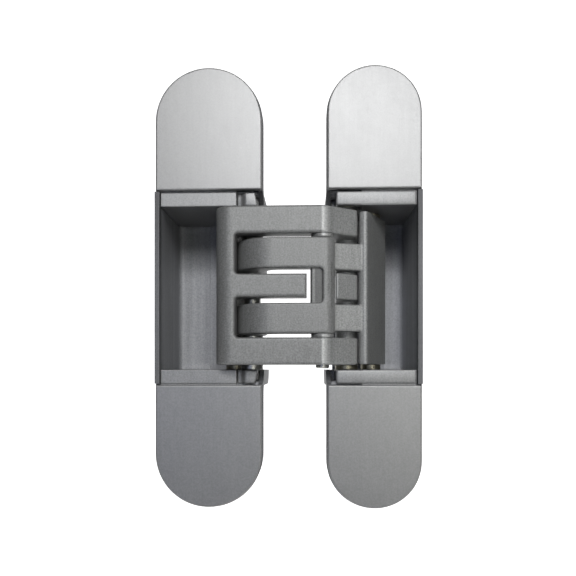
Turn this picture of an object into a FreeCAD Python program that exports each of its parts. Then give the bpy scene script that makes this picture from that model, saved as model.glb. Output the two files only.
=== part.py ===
import FreeCAD, Part
import math
import os

from FreeCAD import Vector

# A concealed door hinge with two crossing arms, upright as it is fitted and open at 180 degrees.
# X runs from the frame body to the door body, Y runs into the mortise and Z is up.
# Heights are measured from mid-height, and depths from the frame body's face, which is flush
# with the door frame. The finished pieces are then shifted so that the origin is the middle of
# the frame body's screw pattern, on the back of its end tabs.

# Bodies
BODY_HEIGHT = 114.0
FRAME_WIDTH = 28.0
DOOR_WIDTH = 24.5
OPEN_GAP = 16.5
CLOSED_GAP = 4.0
BODY_DEPTH = 29.2
FLOOR_WALL = 2.2
SIDE_WALL = 1.2
END_WALL = 1.2
BOX_HEIGHT = 50.8
BOX_CORNER = 6.0
TAB_DEPTH = 4.8
TAB_FILLET = 2.5
CAVITY_FILLET = 1.2
GAP_WALL_CUT = 2.5
FLOOR_STEP = 0.4
FLOOR_STEP_INSET = 17.6
SMALL_CLEARANCE = 0.1
OVERSHOOT = 1.0
SAME_PLACE = 1e-4
SHARP_ANGLE = 45.0

# Covers
COVER_THICKNESS = 1.5
COVER_MARGIN = 0.25
COVER_OVERLAP = 0.2
COVER_EDGE = 0.35
CLIP_RADIUS = 1.25
CLIP_LENGTH = 2.4
CLIP_SPREAD = 15.0
CLIP_FROM_END = 13.5
CLIP_HOLE_CLEARANCE = 0.05

# Screws
MOUNT_HOLE_RADIUS = 2.3
MOUNT_SINK_RADIUS = 4.3
MOUNT_INNER_FROM_END = 20.0
MOUNT_OUTER_FROM_END = 7.5
CARRIER_SCREW_RADIUS = 1.25
CARRIER_SCREW_HEAD = 2.2
CARRIER_SCREW_SPREAD = 16.0
CARRIER_SCREW_BEYOND = 3.6
CARRIER_SCREW_LENGTH = 3.0
DRIVE_RADIUS = 0.9
DRIVE_DEPTH = 0.7

# Carriers, which hold the pins inside each body
CARRIER_FRONT = 1.3
CARRIER_THICKNESS = 2.8
CARRIER_SIDE_GAP = 0.15
CARRIER_BACK_GAP = 1.5
CARRIER_CORNER = 0.8
CARRIER_REAR_CORNER = 2.0
CARRIER_EDGE = 0.5
FLANGE_LENGTH = 7.1
FLANGE_THICKNESS = 1.5
BOSS_RADIUS = 3.2
BOSS_NOTCH = 3.6

# Pivots: distance from the body's edge at the gap, and depth behind its face
FRAME_PIVOT_INSET = 3.3
FRAME_PIVOT_DEPTH = 8.0
DOOR_PIVOT_INSET = 5.5
DOOR_PIVOT_DEPTH = 8.0
CENTRE_FROM_DOOR = 1.1
CENTRE_FORWARD = 1.2
FRAME_GUIDE_INSET = 8.5
FRAME_GUIDE_DEPTH = 15.0
DOOR_GUIDE_INSET = 12.5
DOOR_GUIDE_DEPTH = 13.5

# Pins, bushes and washers
FRAME_PIN_RADIUS = 2.25
DOOR_PIN_RADIUS = 1.9
CENTRE_PIN_RADIUS = 1.8
GUIDE_PIN_RADIUS = 1.6
PIN_CHAMFER = 0.3
RUNNING_FIT = 0.05
PRESS_FIT = 0.01
BUSH_WALL = 0.9
GUIDE_CLEARANCE = 0.15
GUIDE_STEPS = 8
PIN_END_GAP = 0.3
CENTRE_HEAD_RADIUS = 1.7
CENTRE_HEAD_HEIGHT = 0.9
WASHER_RING = 1.1
WASHER_GAP = 0.05
SLEEVE_WALL = 0.7

# Depth by which a flat plate runs into the round knuckle at its end
KNUCKLE_JOIN = 0.05

# E-shaped arm
E_END_GAP = 1.3
E_FINGER = 6.9
E_MIDDLE = 5.8
E_FRONT_OVER_CENTRE = 3.4
E_THICKNESS = 5.4
E_LEG_OUTER = 11.8
E_LEG_THICKNESS = 3.8
E_CORNER = 4.2
E_WINDOW_EDGE = 5.1
E_MIDDLE_GAP = 0.9
E_BEND_AHEAD = 0.5
E_BEND_RADIUS = 2.5
E_END_OVER = 2.4
E_END_DEPTH = 1.3
E_END_RADIUS = 1.2
E_NECK_AHEAD = 1.6
E_NECK_BEHIND = 2.5
E_NECK_DROP = 0.6
E_NECK_RADIUS = 1.5
E_INNER_CORNER = 2.5
E_WINDOW_RADIUS = 0.9
E_EDGE = 0.6
E_CENTRE_KNUCKLE = 2.9
E_BLOCK = 6.5
E_BLOCK_EDGE = 0.4
E_KNUCKLE = 3.1
E_TUBE = 2.9
E_GUIDE_KNUCKLE = 3.3
E_BLOCK_CLEARANCE = 0.7

# U-shaped arm
U_END_GAP = 1.5
U_FINGER_INNER_GAP = 1.5
U_FINGER_OUTER_GAP = 1.0
U_SADDLE_STEP = 0.7
U_EDGE = 0.5
U_BAR_RADIUS = 3.1
U_THICKNESS = 4.6
U_KNUCKLE = 4.0
U_HEEL_RADIUS = 10.0
U_TOE_RADIUS = 4.0
U_BAR_CORNER = 2.5
U_WINDOW_DEPTH = 1.05
U_WINDOW_RADIUS = 1.0
U_WEB = 1.2
U_GUIDE_KNUCKLE = 3.2
U_SADDLE_START = 1.5
U_SADDLE_FRONT = 0.8
U_SADDLE_BACK = 3.0
U_SADDLE_CREST = (4.0, 1.7)
U_SADDLE_END = (10.75, 3.6)
U_SADDLE_ROOT = (11.35, 6.9)
U_SADDLE_RADIUS = 0.8
U_PLATE_CORNER = (9.55, 3.9)
U_PLATE_CREST = (11.45, 2.9)
U_PLATE_RADIUS = 0.9
U_TIP = (4.5, 1.7)
U_TIP_BACK = (2.0, 3.1)
U_TIP_RADIUS = 1.0
U_REAR_INSET = 2.9
U_REAR_DEPTH = 1.4
U_REAR_RADIUS = 4.0

# Places worked out from the driving dimensions, as (x, y) in the plan
frame_edge = FRAME_WIDTH / 2
door_edge = frame_edge + OPEN_GAP
door_centre = door_edge + DOOR_WIDTH / 2
frame_pivot = (frame_edge - FRAME_PIVOT_INSET, FRAME_PIVOT_DEPTH)
door_pivot = (door_edge + DOOR_PIVOT_INSET, DOOR_PIVOT_DEPTH)
centre = (door_edge - CENTRE_FROM_DOOR, -CENTRE_FORWARD)
frame_guide = (frame_edge - FRAME_GUIDE_INSET, FRAME_GUIDE_DEPTH)
door_guide = (door_edge + DOOR_GUIDE_INSET, DOOR_GUIDE_DEPTH)
body_half = BODY_HEIGHT / 2
box_half = BOX_HEIGHT / 2
carrier_outer = box_half - END_WALL - SMALL_CLEARANCE
cavity_half = carrier_outer - CARRIER_THICKNESS
cover_start = box_half - COVER_OVERLAP
flange_end = box_half + FLANGE_LENGTH
pin_half = carrier_outer - PIN_END_GAP
guide_bush_radius = GUIDE_PIN_RADIUS + BUSH_WALL
e_front = centre[1] - E_FRONT_OVER_CENTRE
u_front = centre[1] - U_BAR_RADIUS
e_half = cavity_half - E_END_GAP
e_inner = e_half - E_FINGER
u_half = cavity_half - U_END_GAP
u_outer = e_inner - U_FINGER_OUTER_GAP
u_inner = E_MIDDLE / 2 + U_FINGER_INNER_GAP


# Movement


def turned(point, about, degrees):
    """A plan point after a turn in the closing sense, clockwise seen from above."""
    cosine = math.cos(math.radians(degrees))
    sine = math.sin(math.radians(degrees))
    dx = point[0] - about[0]
    dy = point[1] - about[1]
    return (about[0] + dx * cosine + dy * sine, about[1] - dx * sine + dy * cosine)


def bearing(start, end):
    """Direction from one plan point to another, in degrees, growing in the closing sense."""
    return math.degrees(math.atan2(start[1] - end[1], end[0] - start[0]))


def moved(point, start, end):
    """A plan point shifted by the step from start to end."""
    return (point[0] + end[0] - start[0], point[1] + end[1] - start[1])


def shut(point):
    """Where a plan point of the door body lies once the door is shut, and the way back."""
    return (door_centre - point[0], -CLOSED_GAP - point[1])


def swing_angles():
    """Turn of each arm against the frame body, from the triangle of pivots in the shut pose."""
    u_reach = math.dist(frame_pivot, centre)
    e_reach = math.dist(door_pivot, centre)
    span = math.dist(frame_pivot, shut(door_pivot))
    corner = math.acos((u_reach ** 2 + span ** 2 - e_reach ** 2) / (2 * u_reach * span))
    shut_bearing = bearing(frame_pivot, shut(door_pivot)) + math.degrees(corner)
    u_swing = shut_bearing - bearing(frame_pivot, centre)
    shut_centre = turned(centre, frame_pivot, u_swing)
    door_swing = bearing(door_pivot, centre) - bearing(door_pivot, shut(shut_centre))
    return u_swing, 180 - door_swing % 360


u_swing, e_swing = swing_angles()


def frame_guide_at(share):
    """Guide pin of the E arm, in the frame body, with the door shut by this share."""
    middle = turned(centre, frame_pivot, u_swing * share)
    carried = moved(frame_guide, centre, middle)
    return turned(carried, middle, e_swing * share)


def door_guide_at(share):
    """Guide pin of the U arm, in the door body's own place, with the door shut by this share."""
    middle = turned(centre, frame_pivot, u_swing * share)
    pivot = turned(moved(door_pivot, centre, middle), middle, e_swing * share)
    pin = turned(door_guide, frame_pivot, u_swing * share)
    return turned(moved(pin, pivot, door_pivot), door_pivot, -180 * share)


# Shapes


def outline(corners):
    """Closed wire through (x, y, radius) corners, rounded where the radius is above zero."""
    points = [Vector(x, y, 0) for x, y, radius in corners]
    bends = []
    for i, (x, y, radius) in enumerate(corners):
        back = (points[i - 1] - points[i]).normalize()
        ahead = (points[(i + 1) % len(points)] - points[i]).normalize()
        half = back.getAngle(ahead) / 2
        reach = radius / math.tan(half)
        inward = (back + ahead).normalize() * (radius / math.sin(half) - radius)
        bends.append((points[i] + back * reach, points[i] + inward, points[i] + ahead * reach))
    edges = []
    for i, (start, middle, end) in enumerate(bends):
        if corners[i][2] > 0:
            edges.append(Part.Arc(start, middle, end).toShape())
        following = bends[(i + 1) % len(bends)][0]
        if (following - end).Length > 1e-6:
            edges.append(Part.makeLine(end, following))
    return Part.Wire(edges)


def slab(corners, low, high):
    """Plan outline raised from one height to another."""
    face = Part.Face(outline(corners))
    face.translate(Vector(0, 0, low))
    return face.extrude(Vector(0, 0, high - low))


def block(x0, x1, y0, y1, z0, z1):
    return Part.makeBox(x1 - x0, y1 - y0, z1 - z0, Vector(x0, y0, z0))


def drum(place, radius, low, high):
    """Upright cylinder at a plan point."""
    return Part.makeCylinder(radius, high - low, Vector(place[0], place[1], low))


def ring(place, outer, inner, low, high):
    return drum(place, outer, low, high).cut(drum(place, inner, low, high))


def upright_pin(place, radius, low, high):
    """Pin with chamfered ends."""
    body = drum(place, radius, low, high)
    rims = [edge for edge in body.Edges if edge.Closed]
    return body.makeChamfer(PIN_CHAMFER, rims)


def obround(width, half, y0, y1):
    """Flat bar with semicircular ends, along Z, with its thickness along Y."""
    radius = width / 2
    bar = block(-radius, radius, y0, y1, -half + radius, half - radius)
    for side in (-1, 1):
        end = Part.makeCylinder(radius, y1 - y0, Vector(0, y0, side * (half - radius)), Vector(0, 1, 0))
        bar = bar.fuse(end)
    return bar.removeSplitter()


def both_ends(shape):
    """A shape and its mirror image below mid-height."""
    return [shape, shape.mirror(Vector(0, 0, 0), Vector(0, 0, 1))]


def fused(shapes):
    return shapes[0].multiFuse(shapes[1:]).removeSplitter()


def softened(shape, choose, radius):
    """Rounds the edges that the test picks."""
    return shape.makeFillet(radius, [edge for edge in shape.Edges if choose(edge)])


def lies_on_face(edge, axis, value):
    """True for an edge that lies in the plane where that coordinate has this value."""
    box = edge.BoundBox
    low, high = (box.YMin, box.YMax) if axis == "y" else (box.ZMin, box.ZMax)
    return abs(low - value) < SAME_PLACE and abs(high - value) < SAME_PLACE


# Bodies, made with the gap on their +X side


def box_solid(x0, x1, half, y0, back, corner):
    """Box across X whose two far edges are rounded where its ends meet its floor."""
    points = [(-half, y0, 0), (half, y0, 0), (half, back, corner), (-half, back, corner)]
    face = Part.Face(outline(points))
    face.rotate(Vector(0, 0, 0), Vector(0, 1, 0), -90)
    solid = face.extrude(Vector(x1 - x0, 0, 0))
    solid.translate(Vector(x0, 0, 0))
    return solid


def cavity(width, clearance):
    """Room inside the deep box, less a clearance all round."""
    side = width / 2 - SIDE_WALL - clearance
    half = box_half - END_WALL - clearance
    floor_at = BODY_DEPTH - FLOOR_WALL - clearance
    room = box_solid(-side, side, half, -OVERSHOOT, floor_at, BOX_CORNER - END_WALL - clearance)
    return softened(room, lambda edge: is_floor_edge(edge, -side, floor_at), CAVITY_FILLET)


def is_floor_edge(edge, x, y):
    """True for an edge along Z at that place in the plan."""
    box = edge.BoundBox
    return max(abs(box.XMin - x), abs(box.XMax - x), abs(box.YMin - y), abs(box.YMax - y)) < SAME_PLACE


def tab_fillets(width):
    """Coves between the back of the end tabs and the ends of the deep box."""
    corner = box_half + TAB_FILLET
    cove = block(-width / 2, width / 2, TAB_DEPTH, TAB_DEPTH + TAB_FILLET, box_half, corner)
    axis_at = Vector(-width / 2, TAB_DEPTH + TAB_FILLET, corner)
    cove = cove.cut(Part.makeCylinder(TAB_FILLET, width, axis_at, Vector(1, 0, 0)))
    return both_ends(cove)


def mount_holes():
    """Countersunk holes for the screws that hold the body in its mortise."""
    holes = []
    for height in (body_half - MOUNT_INNER_FROM_END, body_half - MOUNT_OUTER_FROM_END):
        start = Vector(0, COVER_THICKNESS, height)
        sink = MOUNT_SINK_RADIUS - MOUNT_HOLE_RADIUS
        cone = Part.makeCone(MOUNT_SINK_RADIUS, MOUNT_HOLE_RADIUS, sink, start, Vector(0, 1, 0))
        bore = Part.makeCylinder(MOUNT_HOLE_RADIUS, TAB_DEPTH, start, Vector(0, 1, 0))
        holes += both_ends(cone.fuse(bore))
    return holes


def clip_places():
    return [(side * CLIP_SPREAD / 2, body_half - CLIP_FROM_END) for side in (-1, 1)]


def carrier_screw_places():
    height = box_half + CARRIER_SCREW_BEYOND
    return [(side * CARRIER_SCREW_SPREAD / 2, height) for side in (-1, 1)]


def across(place, radius, y0, y1):
    """Cylinder along Y at an (x, z) place."""
    return Part.makeCylinder(radius, y1 - y0, Vector(place[0], y0, place[1]), Vector(0, 1, 0))


def housing(width, pivot, pin_radius):
    """Cast body: two thin end tabs and a deep box, open at the front and at the gap."""
    edge = width / 2
    inner = edge - SIDE_WALL
    tabs = obround(width, body_half, COVER_THICKNESS, TAB_DEPTH)
    box = box_solid(-edge, edge, box_half, 0, BODY_DEPTH, BOX_CORNER)
    body = fused([tabs, box] + tab_fillets(width)).cut(cavity(width, 0))
    floor_at = BODY_DEPTH - FLOOR_WALL
    step = block(edge - FLOOR_STEP_INSET, edge, floor_at - FLOOR_STEP, floor_at, -cavity_half, cavity_half)
    body = body.fuse(step)
    past = edge + OVERSHOOT
    gap_start = edge - GAP_WALL_CUT
    cuts = [block(gap_start, past, -OVERSHOOT, BODY_DEPTH + OVERSHOOT, -cavity_half, cavity_half)]
    scoop_radius = box_half - cavity_half + TAB_DEPTH
    for side in (-1, 1):
        scoop_axis = Vector(inner - OVERSHOOT, 0, side * (cover_start - scoop_radius))
        scoop_length = SIDE_WALL + 2 * OVERSHOOT
        cuts.append(Part.makeCylinder(scoop_radius, scoop_length, scoop_axis, Vector(1, 0, 0)))
    flange_room = flange_end + SMALL_CLEARANCE
    flange_depth = COVER_THICKNESS + FLANGE_THICKNESS + SMALL_CLEARANCE
    cuts += both_ends(block(-inner, inner, -OVERSHOOT, flange_depth, 0, flange_room))
    cover_bed = cover_start - COVER_EDGE
    cuts += both_ends(block(-past, past, -OVERSHOOT, COVER_THICKNESS, cover_bed, body_half))
    cuts += both_ends(drum(pivot, pin_radius + SMALL_CLEARANCE, 0, carrier_outer))
    cuts += mount_holes()
    clip_hole = CLIP_RADIUS + CLIP_HOLE_CLEARANCE
    for place in clip_places():
        cuts += both_ends(across(place, clip_hole, 0, TAB_DEPTH + OVERSHOOT))
    for place in carrier_screw_places():
        cuts += both_ends(across(place, CARRIER_SCREW_RADIUS + PRESS_FIT, 0, BODY_DEPTH))
    return body.cut(cuts).removeSplitter()


def guide_slot(path, low, high):
    """Slot that the guide bush sweeps, cut along its path in short straight runs."""
    radius = guide_bush_radius + GUIDE_CLEARANCE
    runs = []
    for start, end in zip(path, path[1:]):
        along = Vector(end[0] - start[0], end[1] - start[1], 0)
        side = Vector(-along.y, along.x, 0).normalize() * radius
        a = Vector(start[0], start[1], low)
        b = Vector(end[0], end[1], low)
        strip = Part.Face(Part.makePolygon([a + side, b + side, b - side, a - side, a + side]))
        runs.append(strip.extrude(Vector(0, 0, high - low)))
        runs.append(drum(end, radius, low, high))
    return drum(path[0], radius, low, high).multiFuse(runs).removeSplitter()


def carrier(width, pivot, pin_radius, path):
    """Upper carrier: a shelf with the pivot hole and the guide slot, and a flange under the cover."""
    inner = width / 2 - SIDE_WALL - CARRIER_SIDE_GAP
    back = BODY_DEPTH - FLOOR_WALL - CARRIER_BACK_GAP
    step = pivot[0] - BOSS_NOTCH
    shelf = slab([
        (-inner, CARRIER_FRONT, 0),
        (step, CARRIER_FRONT, CARRIER_CORNER),
        (step, pivot[1], CARRIER_CORNER),
        (inner, pivot[1], 0),
        (inner, back, CARRIER_REAR_CORNER),
        (-inner, back, CARRIER_REAR_CORNER),
    ], cavity_half, carrier_outer)
    shelf = softened(shelf, is_shelf_front, CARRIER_EDGE)
    boss = drum(pivot, BOSS_RADIUS, cavity_half, carrier_outer)
    shelf = shelf.fuse(boss).common(cavity(width, CARRIER_SIDE_GAP))
    flange_back = COVER_THICKNESS + FLANGE_THICKNESS
    lip_end = cover_start - COVER_EDGE
    flange = block(-inner, step, COVER_THICKNESS, flange_back, cavity_half, flange_end)
    lip = block(-inner, step, CARRIER_FRONT, flange_back, cavity_half, lip_end)
    piece = fused([shelf, flange, lip])
    holes = [drum(pivot, pin_radius + PRESS_FIT, 0, body_half), guide_slot(path, 0, body_half)]
    hole_radius = CARRIER_SCREW_RADIUS + SMALL_CLEARANCE
    sink_radius = CARRIER_SCREW_HEAD + SMALL_CLEARANCE
    sink_depth = CARRIER_SCREW_HEAD - CARRIER_SCREW_RADIUS
    for place in carrier_screw_places():
        top = Vector(place[0], COVER_THICKNESS, place[1])
        holes.append(across(place, hole_radius, 0, TAB_DEPTH))
        holes.append(Part.makeCone(sink_radius, hole_radius, sink_depth, top, Vector(0, 1, 0)))
    return piece.cut(holes).removeSplitter()


def is_shelf_front(edge):
    """True for the long edge in front of and under a shelf."""
    box = edge.BoundBox
    return lies_on_face(edge, "z", cavity_half) and abs(box.YMax - CARRIER_FRONT) < SAME_PLACE


def carrier_screws():
    """Countersunk screws that hold the carriers to the tabs."""
    screws = []
    for place in carrier_screw_places():
        top = Vector(place[0], COVER_THICKNESS, place[1])
        head_depth = CARRIER_SCREW_HEAD - CARRIER_SCREW_RADIUS
        head = Part.makeCone(CARRIER_SCREW_HEAD, CARRIER_SCREW_RADIUS, head_depth, top, Vector(0, 1, 0))
        shank_end = COVER_THICKNESS + CARRIER_SCREW_LENGTH
        shank = across(place, CARRIER_SCREW_RADIUS, COVER_THICKNESS, shank_end)
        drive = hexagon(place, COVER_THICKNESS)
        screws += both_ends(head.fuse(shank).cut(drive).removeSplitter())
    return Part.makeCompound(screws)


def hexagon(place, y):
    """Six-sided drive recess in a screw head."""
    corners = []
    for i in range(7):
        angle = math.radians(60 * i)
        x = place[0] + DRIVE_RADIUS * math.cos(angle)
        z = place[1] + DRIVE_RADIUS * math.sin(angle)
        corners.append(Vector(x, y, z))
    return Part.Face(Part.makePolygon(corners)).extrude(Vector(0, DRIVE_DEPTH, 0))


def cover(width):
    """Upper cover cap with softened edge and two round clips behind it."""
    plate = obround(width - 2 * COVER_MARGIN, body_half - COVER_MARGIN, 0, COVER_THICKNESS)
    plate = plate.common(block(-width, width, -OVERSHOOT, TAB_DEPTH, cover_start, body_half))
    plate = softened(plate, lambda edge: lies_on_face(edge, "y", 0), COVER_EDGE)
    clip_end = COVER_THICKNESS + CLIP_LENGTH
    clips = [across(place, CLIP_RADIUS, COVER_THICKNESS, clip_end) for place in clip_places()]
    return fused([plate] + clips)


# Arms


def e_arm():
    """E-shaped arm: leg in the frame body, three fingers, and a barrel in the door body."""
    leg_outer = frame_edge - E_LEG_OUTER
    leg_inner = leg_outer + E_LEG_THICKNESS
    window = leg_outer + E_WINDOW_EDGE
    underside = e_front + E_THICKNESS
    bend = centre[0] + E_BEND_AHEAD
    foot = frame_guide[1] - E_GUIDE_KNUCKLE
    knuckle = E_KNUCKLE - KNUCKLE_JOIN
    silhouette = [
        (leg_outer, e_front, E_CORNER),
        (bend, e_front, E_BEND_RADIUS),
        (door_pivot[0] + E_END_OVER, E_END_DEPTH, E_END_RADIUS),
        (door_pivot[0] + knuckle, door_pivot[1], 0),
        (door_pivot[0] - knuckle, door_pivot[1], 0),
        (centre[0] + E_NECK_AHEAD, underside + E_NECK_DROP, E_NECK_RADIUS),
        (centre[0] - E_NECK_BEHIND, underside, 0),
        (leg_inner, underside, E_INNER_CORNER),
        (leg_inner, frame_guide[1], 0),
        (leg_outer, frame_guide[1], 0),
    ]
    arm = fused([
        slab(silhouette, -e_half, e_half),
        drum(centre, E_CENTRE_KNUCKLE, -e_half, e_half),
        drum(door_pivot, E_KNUCKLE, -e_half, e_half),
        drum(frame_guide, E_GUIDE_KNUCKLE, -e_half, e_half),
    ])
    right = door_edge + DOOR_WIDTH
    middle = E_MIDDLE / 2
    slot = block(window, right, -BODY_DEPTH, foot, middle, e_inner)
    slot = softened(slot, lambda edge: is_window_edge(edge, window), E_WINDOW_RADIUS)
    finger_end = centre[0] - U_BAR_RADIUS - E_MIDDLE_GAP
    relief = block(finger_end, right, -BODY_DEPTH, foot, -middle, middle)
    barrel = slab(silhouette, -E_BLOCK / 2, E_BLOCK / 2)
    bar_room = drum(centre, U_BAR_RADIUS + E_BLOCK_CLEARANCE, -E_BLOCK, E_BLOCK)
    past_bar = block(centre[0], right, -BODY_DEPTH, foot, -E_BLOCK, E_BLOCK)
    behind_bar = block(centre[0], door_pivot[0] - E_KNUCKLE, centre[1], foot, -E_BLOCK, E_BLOCK)
    barrel = softened(barrel.common(past_bar).cut([bar_room, behind_bar]), is_block_rim, E_BLOCK_EDGE)
    barrel = fused([barrel, drum(door_pivot, E_KNUCKLE, -E_BLOCK / 2, E_BLOCK / 2)])
    arm = arm.cut(both_ends(slot) + [relief]).removeSplitter()
    arm = softened(arm, lambda edge: is_rim(arm, edge, e_front), E_EDGE)
    arm = fused([arm, barrel, drum(door_pivot, E_TUBE, -e_inner, e_inner)])
    bores = [
        drum(centre, CENTRE_PIN_RADIUS + PRESS_FIT, -e_half, e_half),
        drum(door_pivot, DOOR_PIN_RADIUS + RUNNING_FIT, -e_half, e_half),
        drum(frame_guide, GUIDE_PIN_RADIUS + PRESS_FIT, -e_half, e_half),
    ]
    return arm.cut(bores)


def is_rim(shape, edge, front):
    """True for a sharp edge around the flat front of an arm."""
    return lies_on_face(edge, "y", front) and crease(shape, edge) > SHARP_ANGLE


def crease(shape, edge):
    """Angle in degrees between the outward directions of the two faces at an edge."""
    middle = edge.valueAt((edge.FirstParameter + edge.LastParameter) / 2)
    faces = shape.ancestorsOfType(edge, Part.Face)
    normals = [face.normalAt(*face.Surface.parameter(middle)) for face in faces]
    return math.degrees(normals[0].getAngle(normals[-1]))


def is_block_rim(edge):
    """True for the level edges of the barrel's block that start in front of the face."""
    return edge.BoundBox.ZLength < SAME_PLACE and edge.BoundBox.YMin < 0


def is_window_edge(edge, x):
    """True for the upright ends of a window, the edges along Y at this X."""
    box = edge.BoundBox
    return abs(box.XMin - x) < SAME_PLACE and abs(box.XMax - x) < SAME_PLACE and box.YLength > box.ZLength


def u_arm():
    """U-shaped arm: two fingers to the frame body, a cross bar, and a plate in the door body."""
    underside = u_front + U_THICKNESS
    heel = frame_pivot[0] - U_KNUCKLE
    toe = frame_pivot[0] + U_KNUCKLE
    finger = [
        (heel, frame_pivot[1], 0),
        (heel, u_front, U_HEEL_RADIUS),
        (centre[0], u_front, 0),
        (centre[0], underside, 0),
        (toe, underside, U_TOE_RADIUS),
        (toe, frame_pivot[1], 0),
    ]
    bar_left = centre[0] - U_BAR_RADIUS
    bar_right = centre[0] + U_BAR_RADIUS
    bar_back = centre[1] + U_BAR_RADIUS
    bar = [
        (bar_left, u_front, U_BAR_CORNER),
        (bar_right, u_front, U_BAR_CORNER),
        (bar_right, bar_back, U_BAR_CORNER),
        (bar_left, bar_back, U_BAR_CORNER),
    ]
    saddle = [
        (centre[0] + U_SADDLE_START, centre[1] + U_SADDLE_FRONT, 0),
        (centre[0] + U_SADDLE_CREST[0], centre[1] + U_SADDLE_CREST[1], U_SADDLE_RADIUS),
        (centre[0] + U_SADDLE_END[0], centre[1] + U_SADDLE_END[1], U_SADDLE_RADIUS),
        (centre[0] + U_SADDLE_ROOT[0], centre[1] + U_SADDLE_ROOT[1], 0),
        (centre[0] + U_SADDLE_START, centre[1] + U_SADDLE_BACK, 0),
    ]
    rear = door_guide[0] - U_REAR_INSET
    plate = [
        (centre[0] + U_PLATE_CORNER[0], centre[1] + U_PLATE_CORNER[1], U_PLATE_RADIUS),
        (centre[0] + U_PLATE_CREST[0], centre[1] + U_PLATE_CREST[1], U_PLATE_RADIUS),
        (door_guide[0] + U_TIP[0], door_guide[1] + U_TIP[1], U_PLATE_RADIUS),
        (door_guide[0] + U_TIP_BACK[0], door_guide[1] + U_TIP_BACK[1], U_TIP_RADIUS),
        (rear, door_guide[1] + U_REAR_DEPTH, U_TIP_RADIUS),
        (rear, door_pivot[1], U_REAR_RADIUS),
    ]
    pieces = [
        slab(bar, -u_outer, u_outer),
        block(centre[0] - U_WEB, centre[0], u_front, underside, -u_inner, u_inner),
        slab(plate, -u_half, u_half),
        drum(door_guide, U_GUIDE_KNUCKLE, -u_half, u_half),
    ]
    crossing = slab(saddle, u_inner, u_outer - U_SADDLE_STEP)
    crossing = softened(crossing, is_crest_edge, U_EDGE)
    for piece in (
        slab(finger, u_inner, u_outer),
        drum(frame_pivot, U_KNUCKLE, u_inner, u_outer),
        crossing,
    ):
        pieces += both_ends(piece)
    arm = fused(pieces)
    recess_left = centre[0] - U_BAR_RADIUS - OVERSHOOT
    recess_back = u_front + U_WINDOW_DEPTH
    recess = block(recess_left, centre[0], u_front - OVERSHOOT, recess_back, -u_inner, u_inner)
    recess = softened(recess, lambda edge: is_window_edge(edge, centre[0]), U_WINDOW_RADIUS)
    bores = [
        drum(centre, CENTRE_PIN_RADIUS + RUNNING_FIT, -u_half, u_half),
        drum(frame_pivot, FRAME_PIN_RADIUS + RUNNING_FIT, -u_half, u_half),
        drum(door_guide, GUIDE_PIN_RADIUS + PRESS_FIT, -u_half, u_half),
    ]
    arm = arm.cut(recess).removeSplitter()
    arm = softened(arm, lambda edge: is_rim(arm, edge, u_front), U_EDGE)
    return arm.cut(bores)


def is_crest_edge(edge):
    """True for the level edges along the saddle's gentle slope."""
    box = edge.BoundBox
    start = centre[0] + U_SADDLE_CREST[0]
    end = centre[0] + U_SADDLE_END[0]
    return box.ZLength < SAME_PLACE and box.XMin > start and box.XMax < end


# Small parts


def centre_pin():
    """Pin through both arms, with a small head at its lower end."""
    pin = upright_pin(centre, CENTRE_PIN_RADIUS, -e_half, e_half)
    head_end = -e_half - CENTRE_HEAD_HEIGHT
    head = drum(centre, CENTRE_HEAD_RADIUS, head_end, -e_half + OVERSHOOT)
    rims = [edge for edge in head.Edges if edge.Closed and lies_on_face(edge, "z", head_end)]
    return pin.fuse(head.makeChamfer(PIN_CHAMFER, rims)).removeSplitter()


def washers(place, pin_radius, low, high):
    """Thrust washers above and below mid-height."""
    outer = pin_radius + WASHER_RING
    return Part.makeCompound(both_ends(ring(place, outer, pin_radius + RUNNING_FIT, low, high)))


def guide_bushes(place, low):
    """Sliding bushes on the ends of a guide pin."""
    bore = GUIDE_PIN_RADIUS + PRESS_FIT
    return Part.makeCompound(both_ends(ring(place, guide_bush_radius, bore, low, pin_half)))


def sleeves(place, low, high):
    """Spacing sleeves on the frame pivot pin, above and below the arm."""
    bore = FRAME_PIN_RADIUS + PRESS_FIT
    return Part.makeCompound(both_ends(ring(place, bore + SLEEVE_WALL, bore, low, high)))


def in_door(shape):
    """Door body pieces are the mirror image of frame body pieces."""
    return shape.mirror(Vector(door_centre / 2, 0, 0), Vector(1, 0, 0))


def in_place(shape):
    return shape


def lowered(shape):
    """Lower twin of an upper piece."""
    return shape.mirror(Vector(0, 0, 0), Vector(0, 0, 1))


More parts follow.
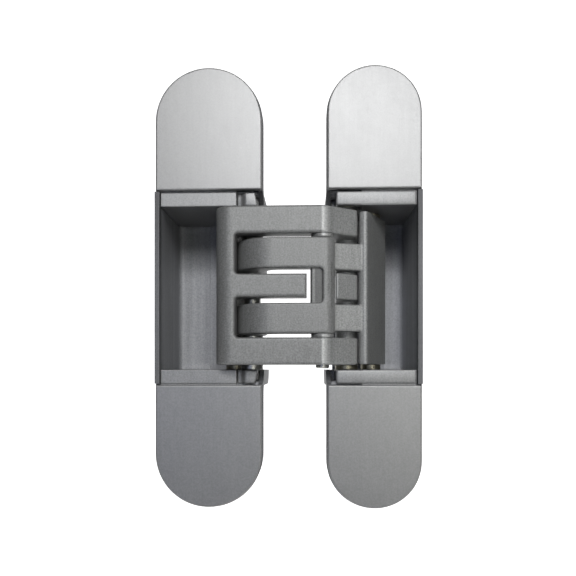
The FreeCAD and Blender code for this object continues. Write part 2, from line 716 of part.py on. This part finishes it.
def main():
    steps = [i / GUIDE_STEPS for i in range(GUIDE_STEPS + 1)]
    frame_path = [frame_guide_at(share) for share in steps]
    door_path = [(door_centre - x, y) for x, y in (door_guide_at(share) for share in steps)]
    door_pivot_local = (door_centre - door_pivot[0], door_pivot[1])

    parts = {}
    for name, width, pivot, pin_radius, path, place in (
        ("frame", FRAME_WIDTH, frame_pivot, FRAME_PIN_RADIUS, frame_path, in_place),
        ("door", DOOR_WIDTH, door_pivot_local, DOOR_PIN_RADIUS, door_path, in_door),
    ):
        upper_carrier = carrier(width, pivot, pin_radius, path)
        upper_cover = cover(width)
        parts[name + "_housing"] = place(housing(width, pivot, pin_radius))
        parts[name + "_carrier_upper"] = place(upper_carrier)
        parts[name + "_carrier_lower"] = place(lowered(upper_carrier))
        parts[name + "_carrier_screws"] = place(carrier_screws())
        parts[name + "_cover_upper"] = place(upper_cover)
        parts[name + "_cover_lower"] = place(lowered(upper_cover))

    parts["e_arm"] = e_arm()
    parts["u_arm"] = u_arm()
    parts["centre_pin"] = centre_pin()
    parts["frame_pivot_pin"] = upright_pin(frame_pivot, FRAME_PIN_RADIUS, -pin_half, pin_half)
    parts["door_pivot_pin"] = upright_pin(door_pivot, DOOR_PIN_RADIUS, -pin_half, pin_half)
    parts["frame_guide_pin"] = upright_pin(frame_guide, GUIDE_PIN_RADIUS, -pin_half, pin_half)
    parts["door_guide_pin"] = upright_pin(door_guide, GUIDE_PIN_RADIUS, -pin_half, pin_half)

    under_shelf = cavity_half - WASHER_GAP
    over_bar = u_outer + WASHER_GAP
    parts["centre_washers"] = washers(centre, CENTRE_PIN_RADIUS, over_bar, e_inner - WASHER_GAP)
    parts["frame_pivot_sleeves"] = sleeves(frame_pivot, over_bar, under_shelf)
    parts["door_pivot_washers"] = washers(door_pivot, DOOR_PIN_RADIUS, e_half + WASHER_GAP, under_shelf)
    parts["frame_guide_washers"] = washers(frame_guide, GUIDE_PIN_RADIUS, e_half + WASHER_GAP, under_shelf)
    parts["door_guide_washers"] = washers(door_guide, GUIDE_PIN_RADIUS, u_half + WASHER_GAP, under_shelf)
    parts["frame_guide_bushes"] = guide_bushes(frame_guide, cavity_half)
    parts["door_guide_bushes"] = guide_bushes(door_guide, cavity_half)

    os.makedirs("parts", exist_ok=True)
    for node, shape in parts.items():
        shape.translate(Vector(0, -TAB_DEPTH, 0))
        shape.exportStep("parts/" + node + ".step")
        print(node, len(shape.Solids), "solids", round(shape.Volume, 2), "mm3, valid", shape.isValid())
    print("swing of the U arm", round(u_swing, 4), "of the E arm", round(e_swing, 4))


main()
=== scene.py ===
import bpy
import math
import numpy as np
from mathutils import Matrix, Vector


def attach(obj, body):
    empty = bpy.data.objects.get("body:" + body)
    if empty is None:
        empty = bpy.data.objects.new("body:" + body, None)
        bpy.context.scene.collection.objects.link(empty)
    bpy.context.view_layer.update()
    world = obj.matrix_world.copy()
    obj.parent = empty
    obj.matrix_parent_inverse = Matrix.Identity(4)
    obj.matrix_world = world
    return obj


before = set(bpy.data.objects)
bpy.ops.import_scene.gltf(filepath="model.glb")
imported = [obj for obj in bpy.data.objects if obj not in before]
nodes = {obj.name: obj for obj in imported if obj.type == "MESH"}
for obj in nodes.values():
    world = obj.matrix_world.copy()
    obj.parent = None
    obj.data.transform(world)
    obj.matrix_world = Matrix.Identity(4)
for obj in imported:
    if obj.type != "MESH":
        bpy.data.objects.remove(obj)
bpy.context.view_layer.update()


# The studio. A white paper sweep hangs behind and under the hinge, and the room in front of it is
# dim. Three small softboxes and a wide one above them light it from the front, two low ones fill
# in below, cooler on the left than on the right, and one stands at the right side.


def woven_grid(name, points):
    """Surface through a grid of points: rows and columns of corners joined into quads."""
    rows, columns, _ = points.shape
    index = np.arange(rows * columns).reshape(rows, columns)
    quads = np.stack([index[:-1, :-1], index[:-1, 1:], index[1:, 1:], index[1:, :-1]], axis=-1)
    mesh = bpy.data.meshes.new(name)
    mesh.from_pydata(points.reshape(-1, 3).tolist(), [], quads.reshape(-1, 4).tolist())
    mesh.shade_smooth()
    thing = bpy.data.objects.new(name, mesh)
    bpy.context.scene.collection.objects.link(thing)
    return thing


paper_floor = -0.3
paper_front = -0.25
paper_wall = 0.5
paper_bend = 0.3
paper_top = 0.9
across_paper, along_paper = np.meshgrid(np.linspace(-1.5, 1.5, 9), np.linspace(0, 3, 73))
bend_turn = np.clip(along_paper - 1, 0, 1) * math.pi / 2
paper_y = paper_front + np.clip(along_paper, 0, 1) * (paper_wall - paper_bend - paper_front)
paper_y += paper_bend * np.sin(bend_turn)
paper_z = paper_floor + paper_bend * (1 - np.cos(bend_turn))
paper_z += np.clip(along_paper - 2, 0, 1) * (paper_top - paper_bend - paper_floor)
paper = woven_grid("paper_sweep", np.stack([across_paper, paper_y, paper_z], axis=-1))

paper_material = bpy.data.materials.new("white_paper")
paper_material.use_nodes = True
paper_tree = paper_material.node_tree
paper_shader = paper_tree.nodes["Principled BSDF"]
paper_shader.inputs["Base Color"].default_value = (0.85, 0.85, 0.85, 1)
paper_shader.inputs["Roughness"].default_value = 0.9
paper_shader.inputs["Emission Color"].default_value = (1, 1, 1, 1)
paper_sight = paper_tree.nodes.new("ShaderNodeLightPath")
paper_glow = paper_sight.outputs["Is Camera Ray"]
for ray in ("Is Glossy Ray", "Is Transmission Ray"):
    either = paper_tree.nodes.new("ShaderNodeMath")
    either.operation = "MAXIMUM"
    paper_tree.links.new(paper_glow, either.inputs[0])
    paper_tree.links.new(paper_sight.outputs[ray], either.inputs[1])
    paper_glow = either.outputs[0]
paper_tree.links.new(paper_glow, paper_shader.inputs["Emission Strength"])
paper.data.materials.append(paper_material)

room = bpy.data.worlds.new("studio_room")
room.use_nodes = True
room_tree = room.node_tree
room_light = 0.02
room_tree.nodes["Background"].inputs["Color"].default_value = (1, 1, 1, 1)
room_sight = room_tree.nodes.new("ShaderNodeLightPath")
room_mix = room_tree.nodes.new("ShaderNodeMath")
room_mix.operation = "MAXIMUM"
room_mix.inputs[1].default_value = room_light
room_tree.links.new(room_sight.outputs["Is Camera Ray"], room_mix.inputs[0])
room_tree.links.new(room_mix.outputs[0], room_tree.nodes["Background"].inputs["Strength"])
bpy.context.scene.world = room


def softbox(name, azimuth, elevation, width, height, watts, tint=(1, 1, 1)):
    """Rectangular lamp on a sphere round the hinge, facing it; azimuth 0 is straight in front."""
    hinge_middle = Vector((0.02, 0.005, 0))
    distance = 0.8
    turn, rise = math.radians(azimuth), math.radians(elevation)
    outward = Vector((math.sin(turn) * math.cos(rise), -math.cos(turn) * math.cos(rise), math.sin(rise)))
    lamp = bpy.data.lights.new(name, "AREA")
    lamp.shape = "RECTANGLE"
    lamp.size = width
    lamp.size_y = height
    lamp.energy = watts
    lamp.color = tint
    holder = bpy.data.objects.new(name, lamp)
    holder.location = hinge_middle + outward * distance
    holder.rotation_euler = outward.to_track_quat("Z", "Y").to_euler()
    bpy.context.scene.collection.objects.link(holder)


softbox("key_softbox_left", -4, 18.5, 0.16, 0.13, 0.66)
softbox("key_softbox_middle", 8, 18.5, 0.16, 0.13, 0.58)
softbox("key_softbox_right", 20, 18.5, 0.16, 0.13, 0.73)
softbox("high_softbox", 2, 28, 0.36, 0.11, 2.5)
softbox("low_softbox_left", -16, -4, 0.4, 0.12, 0.3, (0.88, 0.97, 1.3))
softbox("low_softbox_right", 18, -4, 0.35, 0.12, 0.9, (1.0, 1.0, 0.94))
softbox("side_softbox", 60, 15, 0.4, 0.3, 0.38)

bpy.context.scene.view_settings.view_transform = "Standard"

# The camera stands level, close in front of the hinge and a little below its middle. It is turned
# slightly to the left, and the lens is slid up, as in the photograph.
eye = bpy.data.cameras.new("photo_camera")
eye.sensor_width = 36
eye.lens = 39.92
eye.shift_x = 0.0107
eye.shift_y = 0.1362
eye.clip_start = 0.005
camera = bpy.data.objects.new("photo_camera", eye)
camera.location = (0.0254, -0.1688, -0.0204)
camera.rotation_euler = (math.radians(90), 0, 0.039)
bpy.context.scene.collection.objects.link(camera)
bpy.context.scene.camera = camera


# The bodies: two die-cast zinc housings, tumbled and sprayed with a satin silver lacquer that
# dries almost matt inside the deep recesses. Every edge is painted paler as a highlight, and the
# recesses get painted shade. Lengths are in metres.


class Flow:
    """One shader socket, with arithmetic that adds Math nodes."""

    def __init__(self, paint, socket):
        self.paint = paint
        self.socket = socket

    def combined(self, operation, first, second):
        return self.paint.add("ShaderNodeMath", {"operation": operation}, [first, second])

    def __add__(self, other):
        return self.combined("ADD", self, other)

    def __sub__(self, other):
        return self.combined("SUBTRACT", self, other)

    def __rsub__(self, other):
        return self.combined("SUBTRACT", other, self)

    def __mul__(self, other):
        return self.combined("MULTIPLY", self, other)

    __radd__ = __add__
    __rmul__ = __mul__


class Paint:
    """A procedural material with one Principled shader, painted in Object coordinates."""

    def __init__(self, name, metallic):
        self.material = bpy.data.materials.new(name)
        self.material.use_nodes = True
        self.tree = self.material.node_tree
        self.shader = self.tree.nodes["Principled BSDF"]
        self.shader.inputs["Metallic"].default_value = metallic
        self.place = self.add("ShaderNodeTexCoord", {}, {}, "Object")

    def add(self, kind, settings, inputs, output=0):
        """One node: its settings first, then values or links for its sockets."""
        node = self.tree.nodes.new(kind)
        for key, value in settings.items():
            if key == "stops":
                for stop, (at, shade) in zip(node.color_ramp.elements, value):
                    stop.position = at
                    stop.color = (shade, shade, shade, 1)
            else:
                setattr(node, key, value)
        pairs = inputs.items() if isinstance(inputs, dict) else enumerate(inputs)
        for key, value in pairs:
            if isinstance(value, Flow):
                self.tree.links.new(value.socket, node.inputs[key])
            else:
                node.inputs[key].default_value = value
        return Flow(self, node.outputs[output])

    def axis(self, letter):
        """Object coordinate along X, Y or Z."""
        return self.add("ShaderNodeSeparateXYZ", {}, {"Vector": self.place}, letter)

    def step(self, value, low, high):
        """Rises from 0 to 1 while the value goes from low to high, smoothly."""
        between = [value, low, high, 0.0, 1.0]
        return self.add("ShaderNodeMapRange", {"interpolation_type": "SMOOTHSTEP"}, between)

    def noise(self, size, detail=2.0, stretch=(1, 1, 1)):
        """Cloud pattern whose blobs are about this size, longer along an axis that is stretched."""
        scale = tuple(1 / (size * along) for along in stretch)
        spot = self.add("ShaderNodeMapping", {}, {"Vector": self.place, "Scale": scale})
        return self.add("ShaderNodeTexNoise", {}, {"Vector": spot, "Scale": 1.0, "Detail": detail}, "Fac")

    def ramp(self, value, stops):
        """The value sent through a two-stop ramp of greys."""
        return self.add("ShaderNodeValToRGB", {"stops": stops}, [value])

    def mixed(self, share, first, second):
        """Colour between two colours. The Mix node keeps its colours in sockets 6 and 7."""
        return self.add("ShaderNodeMix", {"data_type": "RGBA"}, {0: share, 6: first, 7: second}, 2)

    def rounded(self, radius):
        """Normal of the surface with its edges rounded off to a radius."""
        return self.add("ShaderNodeBevel", {"samples": 6}, {"Radius": radius}, "Normal")

    def edges(self, radius):
        """Rises where the surface turns sharply: one less the agreement of true and rounded normals."""
        normals = [self.add("ShaderNodeNewGeometry", {}, {}, "Normal"), self.rounded(radius)]
        agreement = self.add("ShaderNodeVectorMath", {"operation": "DOT_PRODUCT"}, normals, "Value")
        return self.ramp(1 - agreement, [(0.02, 0), (0.3, 1)])

    def feed(self, **inputs):
        """Links values to the shader, each under its socket's name with _ for a space."""
        for socket, value in inputs.items():
            self.tree.links.new(value.socket, self.shader.inputs[socket.replace("_", " ")])

    def relief(self, height, depth, edge):
        """Bumps of that depth, over edges rounded off to a radius."""
        bump = {"Height": height, "Distance": depth, "Strength": 1.0, "Normal": self.rounded(edge)}
        self.feed(Normal=self.add("ShaderNodeBump", {}, bump, "Normal"))

    def coat(self, *names):
        """Gives this material to CAD nodes."""
        for name in names:
            slots = nodes[name].data.materials
            slots.clear()
            slots.append(self.material)


def grey(level, tint=(1, 1, 1)):
    """Colour of that level in each channel, times the tint."""
    return tuple(level * share for share in tint) + (1,)


def silver_lacquer(name, level, tint, metallic, roughness, edge, rim, grain, peel_depth, tone=None):
    """Satin silver lacquer: aluminium flake in colour and gloss, orange peel, edges painted paler as a
    highlight.

    The grain is how far the flake goes from the level, and the rim is how much paler the edges are
    painted, as a highlight. The tone is a function of the paint that gives a factor for the colour, place
    by place;
    it carries painted light and shade.
    """
    flake_size, streak_size, cloud_size, peel_size = 0.00038, 0.0005, 0.007, 0.0006
    drawn_out, palest = 14, 0.95
    lacquer = Paint(name, metallic)
    flake = lacquer.noise(flake_size, 1.0)
    cloud = lacquer.noise(cloud_size, 3.0)
    streak = lacquer.noise(streak_size, 2.0, (1, 1, drawn_out))
    shade = 0.5 + (flake - 0.5) * 1.6 + (streak - 0.5) * 0.5 + (cloud - 0.5) * 0.3
    body = lacquer.mixed(shade, grey(level * (1 - grain), tint), grey(level * (1 + grain), tint))
    if tone:
        scaling = {0: body, "Scale": tone(lacquer)}
        body = lacquer.add("ShaderNodeVectorMath", {"operation": "SCALE"}, scaling, "Vector")
    # Painted highlight: the edges are painted paler, patchy with the cloud, and their roughness drops a
    # little.
    rim_highlight = lacquer.edges(edge) * (0.5 + cloud * 0.5)
    lacquer.feed(
        Base_Color=lacquer.mixed(rim_highlight, body, grey(min(level * rim, palest), tint)),
        Roughness=roughness + (cloud - 0.5) * 0.04 + (flake - 0.5) * 0.12 - rim_highlight * 0.08,
    )
    peel = lacquer.noise(peel_size, 2.0)
    lacquer.relief(peel * 0.6 + flake * 0.4, peel_depth, edge)
    return lacquer


def body_painted_light_and_streaks(lacquer):
    """Darker on the front rims; painted shade beside the gap and high in the recesses, painted light on
    the door's floor, and random streak bands.
    """
    x, y, z = (lacquer.axis(letter) for letter in "XYZ")
    front_rim = 1 - lacquer.step(y, -0.0032, -0.0012)
    upper_end = lacquer.step(z, 0.004, 0.02)
    door_floor = lacquer.step(x, 0.03, 0.032) * lacquer.step(y, 0.013, 0.02)
    lower_part = 1 - lacquer.step(z, -0.004, 0.014)
    gap_side = lacquer.step(x, 0.0122, 0.013) * (1 - lacquer.step(x, 0.0316, 0.0324))
    bands = lacquer.noise(0.0022, 2.0, (1, 1, 30))
    dim = (1 - front_rim * 0.6) * (1 - upper_end * 0.3) * (1 - gap_side * 0.5)
    return dim * (1 + door_floor * lower_part * 0.4 + (bands - 0.5) * 0.7)


body_lacquer = silver_lacquer(
    "body_lacquer", level=0.31, tint=(0.97, 0.99, 1.04), metallic=0.2, roughness=0.55,
    edge=0.0003, rim=1.4, grain=0.2, peel_depth=0.00002, tone=body_painted_light_and_streaks,
)
body_lacquer.coat("frame_housing", "door_housing")

# The carriers: four cast blocks that are dropped into the ends of the recesses and screwed to the
# tabs. They are sprayed like the covers, so that their lips match in front.
carrier_lacquer = silver_lacquer(
    "carrier_lacquer", level=0.25, tint=(0.99, 1.0, 1.01), metallic=0.5, roughness=0.46,
    edge=0.0004, rim=1.7, grain=0.2, peel_depth=0.00002,
)
carrier_lacquer.coat("frame_carrier_upper", "frame_carrier_lower")
carrier_lacquer.coat("door_carrier_upper", "door_carrier_lower")

# The lips of the door body: cast bars of the same zinc and finish. They lie over the fronts of its
# carriers and run on past them, over the pivot pin, towards the gap.


def rounded_outline(corners, radius):
    """Outline through corners given anticlockwise, each cut back by the radius and turned.

    A turn is the quadratic curve (1 - t) squared * start + 2 t (1 - t) * corner + t squared * end.
    """
    corners = np.array(corners)
    to_before = np.roll(corners, 1, axis=0) - corners
    to_after = np.roll(corners, -1, axis=0) - corners
    start = corners + to_before / np.linalg.norm(to_before, axis=1, keepdims=True) * radius
    end = corners + to_after / np.linalg.norm(to_after, axis=1, keepdims=True) * radius
    t = np.linspace(0, 1, 6)[:, None]
    turned = (1 - t) ** 2 * start[:, None] + 2 * t * (1 - t) * corners[:, None] + t ** 2 * end[:, None]
    return turned.reshape(-1, 2)


def cast_bar(name, outline, flare, side, body):
    """Closed bar of one rounded outline in X and Y, stacked along Z with rounded ends.

    A ring at the turn t of a rounded end is drawn in by rounding * (1 - cos t) and stands
    rounding * (1 - sin t) from that end. Towards the arms its right part widens by the flare
    times (1 - rise) squared, where rise goes from 0 at the arms to 1 at the cover. The side is
    1 above the arms and -1 below them.
    """
    rounding = 0.0004
    near_arms, near_cover = 0.02126, 0.02486
    turns = np.linspace(0, math.pi / 2, 5)
    inset = rounding * np.concatenate([1 - np.cos(turns[::-1]), 1 - np.cos(turns)])
    heights = np.concatenate([near_arms + rounding * (1 - np.sin(turns[::-1])),
                              near_cover - rounding * (1 - np.sin(turns))])
    along = np.roll(outline, -1, axis=0) - np.roll(outline, 1, axis=0)
    outward = np.stack([along[:, 1], -along[:, 0]], axis=1) / np.linalg.norm(along, axis=1)[:, None]
    middle = outline.mean(axis=0)
    rings = outline - outward * inset[:, None, None]
    rise = (heights - near_arms) / (near_cover - near_arms)
    right_part = np.clip((rings[..., 0] - middle[0]) / np.ptp(outline[:, 0]) * 2, 0, 1)
    rings[..., 0] += flare * (1 - rise[:, None]) ** 2 * right_part
    rows, columns = right_part.shape
    levels = np.repeat(side * heights, columns)[:, None]
    poles = [(*middle, side * heights[0]), (*middle, side * heights[-1])]
    points = np.concatenate([np.hstack([rings.reshape(-1, 2), levels]), poles])
    here = np.arange(rows * columns).reshape(rows, columns)
    after = np.roll(here, -1, axis=1)
    pole = np.full(columns, rows * columns)
    wall = np.stack([here[:-1], after[:-1], after[1:], here[1:]], axis=-1).reshape(-1, 4)
    near_end = np.stack([after[0], here[0], pole], axis=-1)
    far_end = np.stack([here[-1], after[-1], pole + 1], axis=-1)
    faces = [face for part in (wall, near_end, far_end) for face in part[:, ::side].tolist()]
    mesh = bpy.data.meshes.new(name)
    mesh.from_pydata(points.tolist(), [], faces)
    mesh.shade_smooth()
    mesh.materials.append(carrier_lacquer.material)
    piece = bpy.data.objects.new(name, mesh)
    bpy.context.scene.collection.objects.link(piece)
    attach(piece, body)


door_lip_corners = [(0.033, -0.00356), (0.05366, -0.00356), (0.05366, -0.001), (0.033, -0.001)]
door_lip = rounded_outline(door_lip_corners, 0.0005)
cast_bar("door_lip_upper", door_lip, 0, 1, "door")
cast_bar("door_lip_lower", door_lip, 0, -1, "door")

# The bosses of the frame body: cast eyes of the same zinc over the ends of its pivot pin. A shallow
# groove parts them from the lips of the carriers, and they widen towards the arms.
frame_boss_corners = [(0.0072, -0.0022), (0.0084, -0.0023), (0.0094, -0.0034), (0.012, -0.0034),
                      (0.012, -0.0006), (0.0072, -0.0006)]
frame_boss = rounded_outline(frame_boss_corners, 0.0004)
frame_boss_flare = 0.0007
cast_bar("frame_boss_upper", frame_boss, frame_boss_flare, 1, "frame")
cast_bar("frame_boss_lower", frame_boss, frame_boss_flare, -1, "frame")

# The arms: two castings of the same zinc, barrel finished before the lacquer, so that they come
# out rougher and darker than the bodies, with rims round their windows painted paler as a
# highlight. The washers between them, on the centre pin, match.


def arm_painted_light(lacquer):
    """Painted light where the arms enter the door body, a painted highlight on the crest of the bend,
    painted shade in the window.
    """
    x, y, z = (lacquer.axis(letter) for letter in "XYZ")
    height = lacquer.add("ShaderNodeMath", {"operation": "ABSOLUTE"}, [z])
    plate = lacquer.step(x, 0.0405, 0.0415)
    door_end = lacquer.step(x, 0.0305, 0.033) - plate * 0.6
    outer_finger = lacquer.step(height, 0.0122, 0.0126)
    crest = lacquer.step(x, 0.0289, 0.0295) * (1 - lacquer.step(x, 0.03, 0.0318)) * outer_finger
    window = lacquer.step(x, 0.0272, 0.0276) * (1 - lacquer.step(x, 0.0316, 0.032))
    window = window * lacquer.step(y, -0.0088, -0.0083) * (1 - lacquer.step(height, 0.0056, 0.006))
    return 1.0 + door_end * 0.42 + crest * 1.2 - window * 0.5


arm_lacquer = silver_lacquer(
    "arm_lacquer", level=0.205, tint=(0.99, 1.005, 0.995), metallic=0.4, roughness=0.52,
    edge=0.0006, rim=2.3, grain=0.3, peel_depth=0.00003, tone=arm_painted_light,
)
arm_lacquer.coat("e_arm", "u_arm", "centre_washers")

# The covers: four caps that snap over the fixing screws, sprayed to match, flatter and paler
# than the castings.
cover_lacquer = silver_lacquer(
    "cover_lacquer", level=0.25, tint=(0.995, 1.0, 1.005), metallic=0.6, roughness=0.42,
    edge=0.0004, rim=1.6, grain=0.12, peel_depth=0.000008,
)
cover_lacquer.coat("frame_cover_upper", "frame_cover_lower", "door_cover_upper", "door_cover_lower")

# The pins, sleeves and screws: drawn and turned steel, left bright, with fine rings from the
# lathe. The washers of the door's pivot and of the guides are punched from bronze strip.


def turned_metal(name, tone, roughness):
    """Bright metal with rings along its length, and stains that are a little darker."""
    stained = 0.78
    metal = Paint(name, 1.0)
    rings = metal.noise(0.0003, 2.0, (20, 20, 1))
    stain = metal.noise(0.003, 3.0)
    dark = tuple(share * stained for share in tone) + (1,)
    metal.feed(
        Base_Color=metal.mixed(stain, dark, tone + (1,)),
        Roughness=roughness + (rings - 0.5) * 0.15 + (stain - 0.5) * 0.1,
    )
    metal.relief(rings, 0.000004, 0.0002)
    return metal


pin_steel = turned_metal("pin_steel", (0.4, 0.4, 0.38), 0.38)
pin_steel.coat("centre_pin", "frame_pivot_pin", "door_pivot_pin", "frame_guide_pin", "door_guide_pin")
pin_steel.coat("frame_carrier_screws", "door_carrier_screws", "frame_pivot_sleeves")
washer_bronze = turned_metal("washer_bronze", (0.33, 0.31, 0.24), 0.42)
washer_bronze.coat("door_pivot_washers", "frame_guide_washers", "door_guide_washers")

# The guide bushes: small plastic rings that slide in the slots of the carriers.
bush_plastic = Paint("bush_plastic", 0.0)
speck = bush_plastic.noise(0.0003, 2.0)
bush_plastic.feed(
    Base_Color=bush_plastic.mixed(speck, grey(0.03), grey(0.06)),
    Roughness=0.45 + (speck - 0.5) * 0.1,
)
bush_plastic.relief(speck, 0.000005, 0.0002)
bush_plastic.coat("frame_guide_bushes", "door_guide_bushes")
